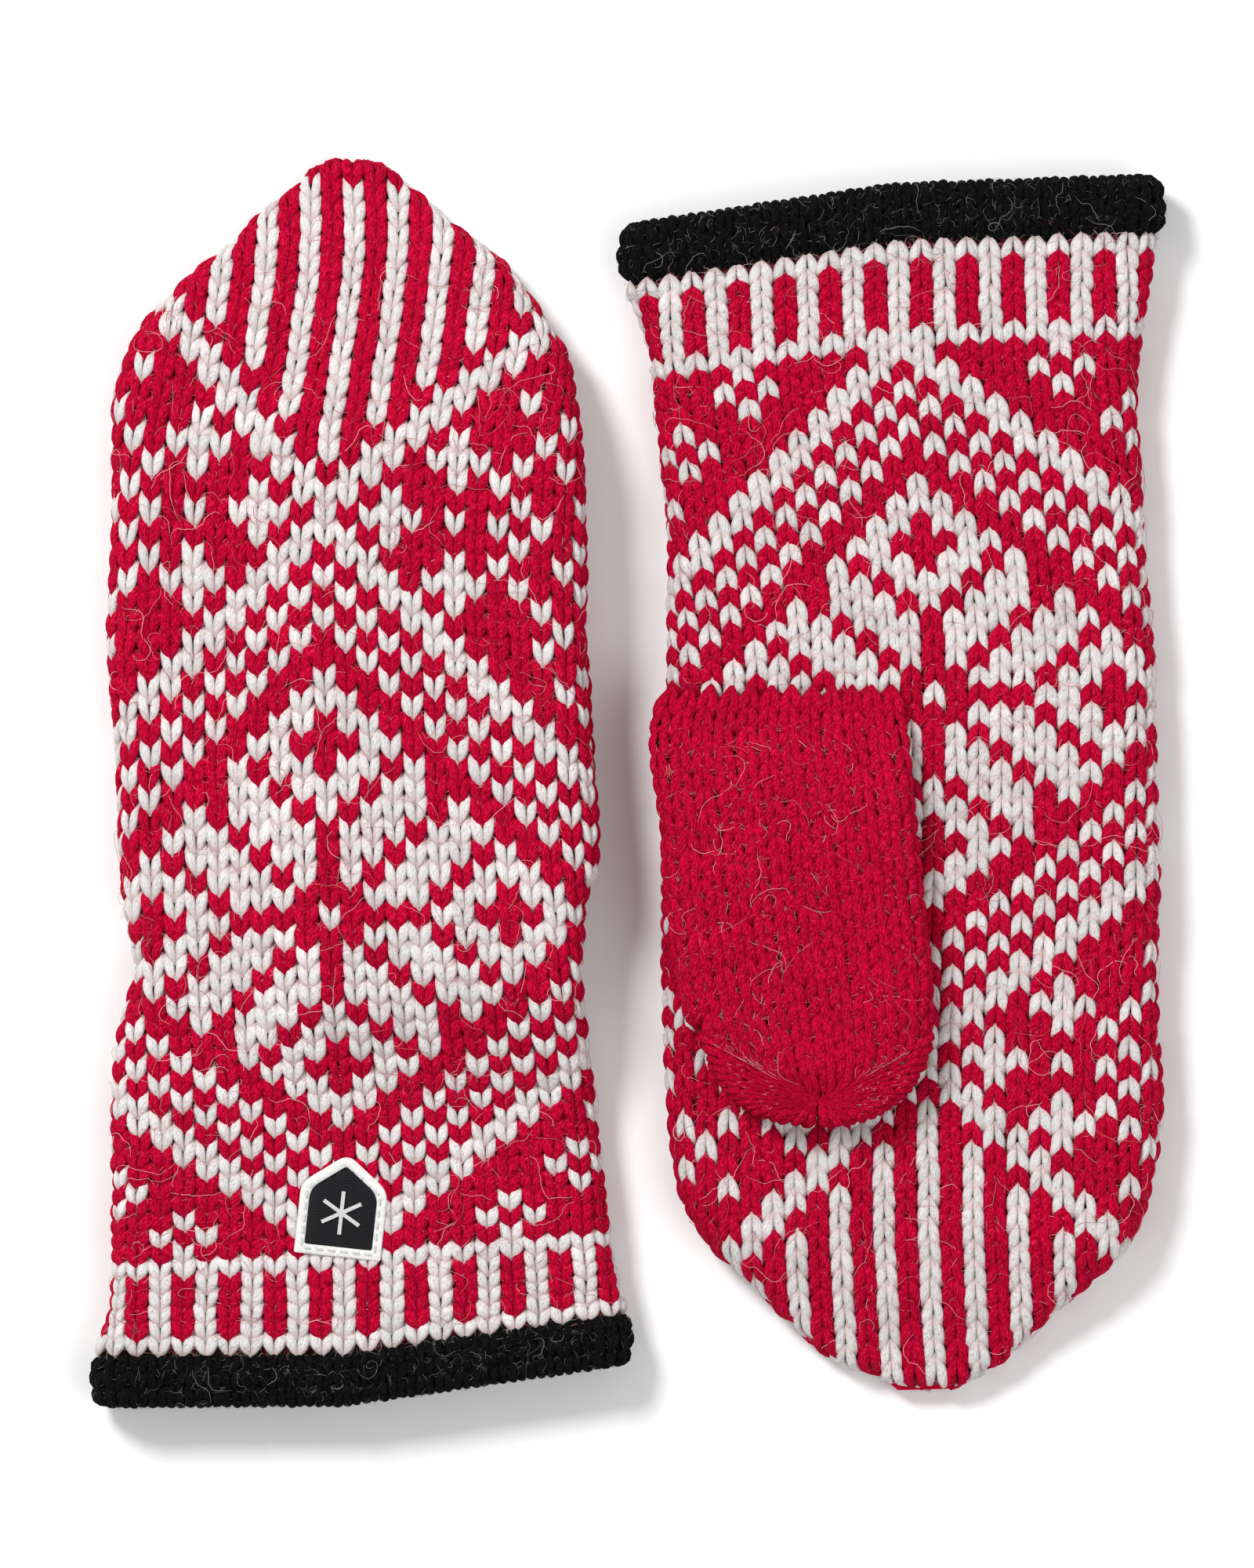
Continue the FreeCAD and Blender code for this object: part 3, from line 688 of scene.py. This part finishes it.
def yarn_material(name, dark, mid, light, fuzz, fuzz_share, end_share, sheen, strength=0.9):
    """Wool: fibres run along the yarn with a slow twist, tone shifts from stitch to stitch.

    The fuzz colour comes in flecks, by fuzz_share, and as a halo at stitch ends, by end_share."""
    material, tree = new_tree(name)
    uv = tree.nodes.new("ShaderNodeTexCoord").outputs["UV"]
    split = tree.nodes.new("ShaderNodeSeparateXYZ")
    tree.links.new(uv, split.inputs[0])
    along, around = split.outputs[0], split.outputs[1]
    twisted = math_node(tree, "ADD", around, math_node(tree, "MULTIPLY", along, 0.09))
    strand = tree.nodes.new("ShaderNodeCombineXYZ")
    tree.links.new(math_node(tree, "MULTIPLY", along, 0.55), strand.inputs[0])
    tree.links.new(math_node(tree, "MULTIPLY", twisted, 7.0), strand.inputs[1])
    fibres = noise(tree, strand.outputs[0], 1.9, 5.0, 0.62)
    colour = ramp_node(tree, fibres, [(0.35, dark), (0.64, light), (0.48, mid)])
    spot = tree.nodes.new("ShaderNodeTexCoord").outputs["Object"]
    patch = noise(tree, spot, 420.0, 2.0)
    stray = noise(tree, spot, 1500.0, 3.0, 0.6)
    fleck = ramp_node(tree, stray, [(0.56, (0, 0, 0)), (0.68, (1, 1, 1))])
    colour = mix(tree, math_node(tree, "MULTIPLY", fleck, fuzz_share), colour, fuzz)
    ends = tree.nodes.new("ShaderNodeAttribute")
    ends.attribute_name = "ends"
    halo = math_node(tree, "MULTIPLY", ends.outputs["Fac"], noise(tree, spot, 900.0, 3.0, 0.7))
    colour = mix(tree, math_node(tree, "MULTIPLY", halo, end_share), colour, fuzz)
    tone = tree.nodes.new("ShaderNodeAttribute")
    tone.attribute_name = "tone"
    level = math_node(tree, "ADD", math_node(tree, "MULTIPLY", tone.outputs["Fac"], 0.045), 1.0)
    cloud = math_node(tree, "ADD", math_node(tree, "MULTIPLY", patch, 0.16), 0.92)
    level = math_node(tree, "MULTIPLY", level, cloud)
    grey = tree.nodes.new("ShaderNodeCombineColor")
    for i in range(3):
        tree.links.new(level, grey.inputs[i])
    colour = mix(tree, 1.0, colour, grey.outputs[0], "MULTIPLY")
    height = math_node(tree, "ADD", fibres, math_node(tree, "MULTIPLY", stray, 0.35))
    finish_material(tree, colour, height, strength, 0.0009, sheen=sheen, tint=mid)
    return material


def hair_material(name, low, high):
    """Stray fibres, each of one colour between low and high."""
    material, tree = new_tree(name)
    tone = tree.nodes.new("ShaderNodeAttribute")
    tone.attribute_name = "tone"
    colour = ramp_node(tree, tone.outputs["Fac"], [(0.1, low), (0.9, high)])
    uv = tree.nodes.new("ShaderNodeTexCoord").outputs["UV"]
    finish_material(tree, colour, noise(tree, uv, 3.0), 0.1, 0.0001, rough=0.7, sheen=0.0)
    return material


def felt_material(name, dark, light, scale, strength=0.5):
    """A mottled, matted cloth. A larger scale gives finer mottling."""
    material, tree = new_tree(name)
    spot = tree.nodes.new("ShaderNodeTexCoord").outputs["Object"]
    fine = noise(tree, spot, scale, 5.0, 0.7)
    colour = ramp_node(tree, fine, [(0.3, dark), (0.7, light)])
    finish_material(tree, colour, fine, strength, 0.0004)
    return material


def weave_material(name, dark, light, pitch):
    """A woven ribbon: two crossing sets of fine ribs."""
    material, tree = new_tree(name)
    spot = tree.nodes.new("ShaderNodeTexCoord").outputs["Object"]
    sets = []
    for direction in ("X", "Y"):
        wave = tree.nodes.new("ShaderNodeTexWave")
        wave.bands_direction = direction
        wave.inputs["Scale"].default_value = pitch
        wave.inputs["Distortion"].default_value = 0.6
        wave.inputs["Detail"].default_value = 2.0
        tree.links.new(spot, wave.inputs["Vector"])
        sets.append(wave.outputs["Fac"])
    both = math_node(tree, "MULTIPLY", sets[0], sets[1])
    colour = ramp_node(tree, both, [(0.1, dark), (0.9, light)])
    finish_material(tree, colour, both, 0.6, 0.0002, rough=0.75, sheen=0.1)
    return material


RED = yarn_material("red_wool", (0.09, 0.0, 0.003), (0.46, 0.0, 0.020), (0.74, 0.006, 0.075),
                    (0.72, 0.04, 0.10), 0.35, 0.0, 0.05, strength=0.6)
WHITE = yarn_material("white_wool", (0.56, 0.53, 0.51), (0.985, 0.955, 0.94), (1.0, 0.99, 0.975),
                      (0.90, 0.42, 0.42), 0.15, 0.8, 0.1)
BLACK = yarn_material("black_wool", (0.001, 0.001, 0.001), (0.004, 0.004, 0.004), (0.014, 0.013, 0.013),
                      (0.05, 0.05, 0.05), 0.3, 0.0, 0.02)
BACKING = felt_material("knit_backing", (0.10, 0.002, 0.008), (0.30, 0.01, 0.025), 900.0)
HEM_BACKING = felt_material("hem_backing", (0.004, 0.004, 0.004), (0.02, 0.02, 0.02), 900.0)
LINING = felt_material("lining_floats", (0.22, 0.02, 0.03), (0.60, 0.30, 0.30), 500.0)
HAIR = hair_material("stray_fibres", (0.50, 0.01, 0.04), (0.92, 0.60, 0.58))
GREY_HAIR = hair_material("stray_grey_fibres", (0.02, 0.02, 0.02), (0.45, 0.42, 0.42))
FELT = felt_material("white_felt", (0.72, 0.71, 0.69), (0.93, 0.92, 0.90), 1400.0, 0.8)
WEAVE = weave_material("black_weave", (0.004, 0.004, 0.005), (0.03, 0.03, 0.035), 900.0)
MOTIF = weave_material("motif_thread", (0.55, 0.55, 0.56), (0.85, 0.85, 0.86), 700.0)
THREAD = felt_material("sewing_thread", (0.50, 0.50, 0.50), (0.78, 0.78, 0.78), 2500.0)


# ---------------------------------------------------------------- building the hands
def selected(m, face):
    """Wales and rows that lie on this face, split into red and white."""
    picked = {True: ([], []), False: ([], [])}
    for k in range(FIRST_ROW, LAST_ROW + 1):
        for c in range(-WALES_HALF - 2, WALES_HALF + 3):
            y = float(row_line(m, face, np.array(float(c)), np.array(k + 0.7)))
            if y > m["tip"] - 0.8:
                continue
            arc = abs(float(wale_arc(m, face, np.array(float(c)), np.array(y))))
            limit = float(side_arc(m, np.array(y))) + face * SIDE_ROOM
            if arc > limit:
                continue
            picked[is_white(c, k)][0].append(c)
            picked[is_white(c, k)][1].append(k)
    return picked


def skin_grid(m, inset, across=64, along=70):
    """A smooth layer inside the hand, inset behind the stitches and closed at the fingertips."""
    ys = np.linspace(float(m["rows"](FIRST_ROW)) - 1.0, m["tip"] - 0.6 - inset, along)
    share = np.linspace(-1, 1, across)
    cuff_start, cuff_end = float(m["rows"](FIRST_ROW)), float(m["rows"](FIRST_ROW + 10))
    verts = []
    for y in ys:
        for face, order in ((1, share), (-1, share[::-1])):
            arc = order * float(side_arc(m, np.array(y)))
            tilt = np.where(arc < 0, m["tilt_left"](FIRST_ROW), m["tilt_right"](FIRST_ROW))
            yy = y + tilt * arc / NEAR_WALE * (1 - ramp(y, cuff_start, cuff_end))
            p, n = hand_point(m, face, arc, yy)
            verts.append(p - n * inset * MM)
    ring = 2 * across
    verts = np.concatenate(verts)
    index = np.arange(len(verts)).reshape(along, ring)
    last = index[-1]
    cap = np.array([[last[j], last[j + 1], last[-2 - j], last[-1 - j]] for j in range(across - 1)])
    return plain_skin(verts, np.concatenate([wrap_faces(index), cap]), plain_uv(ring, along, 40, 50))


def hem_grid(m, around=192, profile=26):
    """The folded band behind the hem's stitches, from the knit edge over the fold and inside."""
    v = np.linspace(0, 2 * m["hem_height"] + HEM_WALL * math.pi, profile)
    share = np.linspace(0, 1, around, endpoint=False)
    s, vv = np.meshgrid(share, v)
    p, n = hem_point(m, s, vv)
    p = p - n * 0.5 * MM
    faces = wrap_faces(np.arange(profile * around).reshape(profile, around))
    return plain_skin(p.reshape(-1, 3), faces, np.stack([s * 60, vv], axis=-1).reshape(-1, 2))


def add(name, data, material, body):
    """One piece of the model, riding on its body."""
    obj = make_mesh(name, *data, material)
    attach(obj, body)
    return obj


def knit_hand(m):
    """A hand and its hem: stitches, stray fibres and the layers behind them."""
    name, body = m["name"], m["body"]
    for face, word, rings, sides in ((1, "upper", 9, 8), (-1, "under", 7, 6)):
        surface = hand_surface(m, face)
        picked = selected(m, face)
        for white, colour, material in ((False, "red", RED), (True, "white", WHITE)):
            c, k = picked[white]
            data = stitches(surface, c, k, rings, sides, thick=0.96 if white else 1.05)
            add(f"{name}_hand_{word}_{colour}", data, material, body)
        long_hairs, short_hairs = (600, 9500) if face > 0 else (200, 2500)
        c_range, k_range = (-11, 11.5), (FIRST_ROW, LAST_ROW - 3)
        fuzz = join([
            hairs(surface, long_hairs, c_range, k_range, (9, 22), 0.052, 22, (0.8, 1.5 + 0.4 * face), 1.0),
            hairs(surface, short_hairs, c_range, k_range, (2, 5.5), 0.030, 5, (0.35, 1.0), 1.0),
        ])
        add(f"{name}_hand_{word}_fuzz", fuzz, HAIR, body)
    backing = add(f"{name}_hand_backing", skin_grid(m, BACKING_INSET), BACKING, body)
    add(f"{name}_hand_lining", skin_grid(m, LINING_INSET), LINING, body)
    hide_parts(f"{name}_hand_shell")

    hem = add(f"{name}_hem_backing", hem_grid(m), HEM_BACKING, body)
    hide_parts(f"{name}_cuff_band")
    wales = np.arange(HEM_WALES)
    rows = int((2 * m["hem_height"] + HEM_WALL * math.pi) / HEM_ROW)
    c = np.tile(wales + 0.5, rows)
    k = np.repeat(-np.arange(rows) - 1.25, HEM_WALES)
    data = stitches(hem_surface(m), c, k, 8, 8, thick=1.0, span=1.5)
    add(f"{name}_hem_stitches", data, BLACK, body)
    fuzz = join([
        hairs(hem_surface(m), 1500, (0, HEM_WALES), (-4, 0), (2, 6), 0.024, 7, (0.4, 1.1), 1.0),
        hairs(hem_surface(m), 110, (0, HEM_WALES), (-1.2, 0.4), (7, 15), 0.042, 16, (0.8, 1.8), 1.1),
    ])
    add(f"{name}_hem_fuzz", fuzz, GREY_HAIR, body)


def thumb_skin(t, across=40, along=40):
    """A smooth layer under the thumb's stitches."""
    wales = np.linspace(-THUMB_HALF, THUMB_HALF, across)
    verts = []
    for row in np.linspace(0.5, THUMB_ROWS, along):
        for face, order in ((1, wales), (-1, wales[::-1])):
            p, n = thumb_surface(t, face)(order, np.full(across, row))
            verts.append(p - n * THUMB_BACKING * MM)
    verts = np.concatenate(verts)
    ring = 2 * across
    faces = wrap_faces(np.arange(len(verts)).reshape(along, ring))
    return plain_skin(verts, faces, plain_uv(ring, along, 20, 20))


def knit_thumb(t):
    """A thumb: its two sides, its rounded end, stray fibres and the layer under them."""
    m = t["mitten"]
    name, body = m["name"], m["thumb_body"]
    parts = []
    for face, rings, sides in ((1, 9, 8), (-1, 7, 6)):
        surface = thumb_surface(t, face)
        c, k = np.meshgrid(np.arange(0.5 - THUMB_HALF, THUMB_HALF), np.arange(THUMB_ROWS - 0.5))
        parts.append(stitches(surface, c.ravel(), k.ravel(), rings, sides, thick=1.06))
    c, k = np.meshgrid(np.arange(0.5, END_WALES) - END_WALES / 2, np.arange(-6.0, 2.5))
    c, k = c.ravel(), k.ravel()
    seen = END_ROW * (END_START - k) < thumb_end_ray(t, c)[2] + THUMB_DEPTH * 0.75
    parts.append(stitches(thumb_end_surface(t), c[seen], k[seen]))
    obj = add(f"{name}_thumb_stitches", join(parts), RED, body)
    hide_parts(f"{name}_thumb")
    surface = thumb_surface(t, 1)
    fuzz = join([
        hairs(surface, 110, (-5, 5), (2.5, THUMB_ROWS - 5), (8, 18), 0.046, 20, (0.7, 1.5), 0.9),
        hairs(surface, 3000, (-5.5, 5.5), (2, THUMB_ROWS - 3), (2, 5), 0.026, 6, (0.3, 0.9), 0.9),
        hairs(thumb_end_surface(t), 140, (-7, 7), (-3, 0.5), (1.5, 3.5), 0.03, 6, (0.3, 0.8), 1.4),
    ])
    add(f"{name}_thumb_fuzz", fuzz, HAIR, body)
    add(f"{name}_thumb_backing", thumb_skin(t), BACKING, body)


for m in (LEFT, RIGHT):
    knit_hand(m)
for t in THUMBS.values():
    knit_thumb(t)

# ---------------------------------------------------------------- the label
def house_loop(inset, eave_cut, peak_cut):
    """The label's outline, moved in, with its corners rounded: CCW points in its own frame."""
    half, slope = LABEL_HALF - inset, LABEL_PEAK / LABEL_HALF
    steep = math.hypot(1, slope)
    eave, ridge = LABEL_SIDE + inset * (slope - steep), LABEL_SIDE + LABEL_PEAK - inset * steep
    corners = np.array([(-half, inset), (half, inset), (half, eave), (0, ridge), (-half, eave)])
    cuts = (LABEL_FOOT, LABEL_FOOT, eave_cut, peak_cut, eave_cut)
    t = np.linspace(0, 1, 9)[:, None]
    loop = []
    for i, corner in enumerate(corners):
        before, after = corners[i - 1] - corner, corners[(i + 1) % 5] - corner
        start = corner + before / np.linalg.norm(before) * cuts[i]
        end = corner + after / np.linalg.norm(after) * cuts[i]
        loop.append((1 - t) ** 2 * start + 2 * t * (1 - t) * corner + t * t * end)
    return np.concatenate(loop)


def label_piece(loops, heights):
    """A skin over closed loops one inside another, each at a height over the label's underside."""
    cos, sin = math.cos(LABEL_TURN), math.sin(LABEL_TURN)
    turn = np.array([[cos, -sin], [sin, cos]])
    outer = house_loop(0.0, *LABEL_OUTER) @ turn.T
    shift = LABEL_BOX[:, :2].mean(axis=0) / MM - (outer.min(axis=0) + outer.max(axis=0)) / 2
    underside = LABEL_BOX[0, 2] / MM
    rings = [np.column_stack([loop @ turn.T + shift, np.full(len(loop), underside + h)])
             for loop, h in zip(loops, heights)]
    verts = np.concatenate(rings) * MM
    faces = wrap_faces(np.arange(len(verts)).reshape(len(rings), -1))
    return plain_skin(verts, faces, np.zeros((len(verts), 2)))


# The felt edge goes up its outside, over a small chamfer, across, and down inside.
rim_loops = [house_loop(0.0, *LABEL_OUTER)] * 2 + [house_loop(0.25, *LABEL_OUTER)]
rim_loops += [house_loop(LABEL_BORDER, *LABEL_INNER)] + [house_loop(LABEL_BORDER + 0.2, *LABEL_INNER)] * 2
rim_skin = label_piece(rim_loops, (0.0, 1.0, 1.2, 1.2, 1.0, 0.1))
rim = add("label_felt_edge", rim_skin, FELT, "left_mitten")
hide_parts("label_rim")

# The black cloth goes up at its edge and shrinks to its middle.
field_edge = house_loop(LABEL_BORDER, *LABEL_INNER)
field_middle = field_edge.mean(axis=0)
field_loops = [field_middle + (field_edge - field_middle) * share for share in (1.0, 1.0, 0.6, 0.2, 0.01)]
field_skin = label_piece(field_loops, (0.1, 0.9, 0.9, 0.9, 0.9))
field = add("label_cloth", field_skin, WEAVE, "left_mitten")
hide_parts("label_field")

# These pieces keep their CAD shape and only get a material.
for node_name, material in (
    ("label_emblem", MOTIF), ("label_thread", THREAD),
    ("left_tip_yarn", RED), ("right_tip_yarn", RED), ("left_thumb_yarn", RED), ("right_thumb_yarn", RED),
):
    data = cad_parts[node_name].data
    data.materials.clear()
    data.materials.append(material)

# ---------------------------------------------------------------- floor, light, camera
floor_colour = felt_material("floor_paper", (0.93, 0.93, 0.93), (0.95, 0.95, 0.95), 60.0, 0.02)
bpy.ops.mesh.primitive_plane_add(size=6, location=(0, 0, -0.0002))
floor = bpy.context.object
floor.name = "floor"
floor.data.materials.append(floor_colour)

world = bpy.data.worlds.new("studio")
world.use_nodes = True
world.node_tree.nodes["Background"].inputs[0].default_value = (1, 1, 1, 1)
world.node_tree.nodes["Background"].inputs[1].default_value = 0.5
bpy.context.scene.world = world


def area_light(name, location, size, power):
    """A round soft light that shines at the middle of the pair. Metres and watts."""
    light = bpy.data.lights.new(name, "AREA")
    light.shape, light.size, light.energy = "DISK", size, power
    obj = bpy.data.objects.new(name, light)
    obj.location = location
    obj.rotation_euler = (Vector((0, 0, 0)) - Vector(location)).to_track_quat("-Z", "Y").to_euler()
    bpy.context.scene.collection.objects.link(obj)


area_light("key", (-0.8, 0.9, 1.4), 0.5, 26)
area_light("fill", (0.9, -0.4, 1.6), 1.2, 9)

# The camera looks straight down, as in the photo. Metres, but for the sensor.
CAMERA_HEIGHT = 2.4
PICTURE_LEVEL = 0.012   # height at which the picture's scale is set
PICTURE_HEIGHT = 0.3333     # length from the picture's top to its bottom at that level
SENSOR = 36
camera = bpy.data.cameras.new("camera")
camera.sensor_width = SENSOR
camera.sensor_fit = "VERTICAL"
camera.sensor_height = SENSOR
camera.lens = SENSOR * (CAMERA_HEIGHT - PICTURE_LEVEL) / PICTURE_HEIGHT
camera.clip_end = 20
camera_object = bpy.data.objects.new("camera", camera)
camera_object.location = (0, 0, CAMERA_HEIGHT)
bpy.context.scene.collection.objects.link(camera_object)
bpy.context.scene.camera = camera_object
bpy.context.scene.view_settings.view_transform = "Standard"
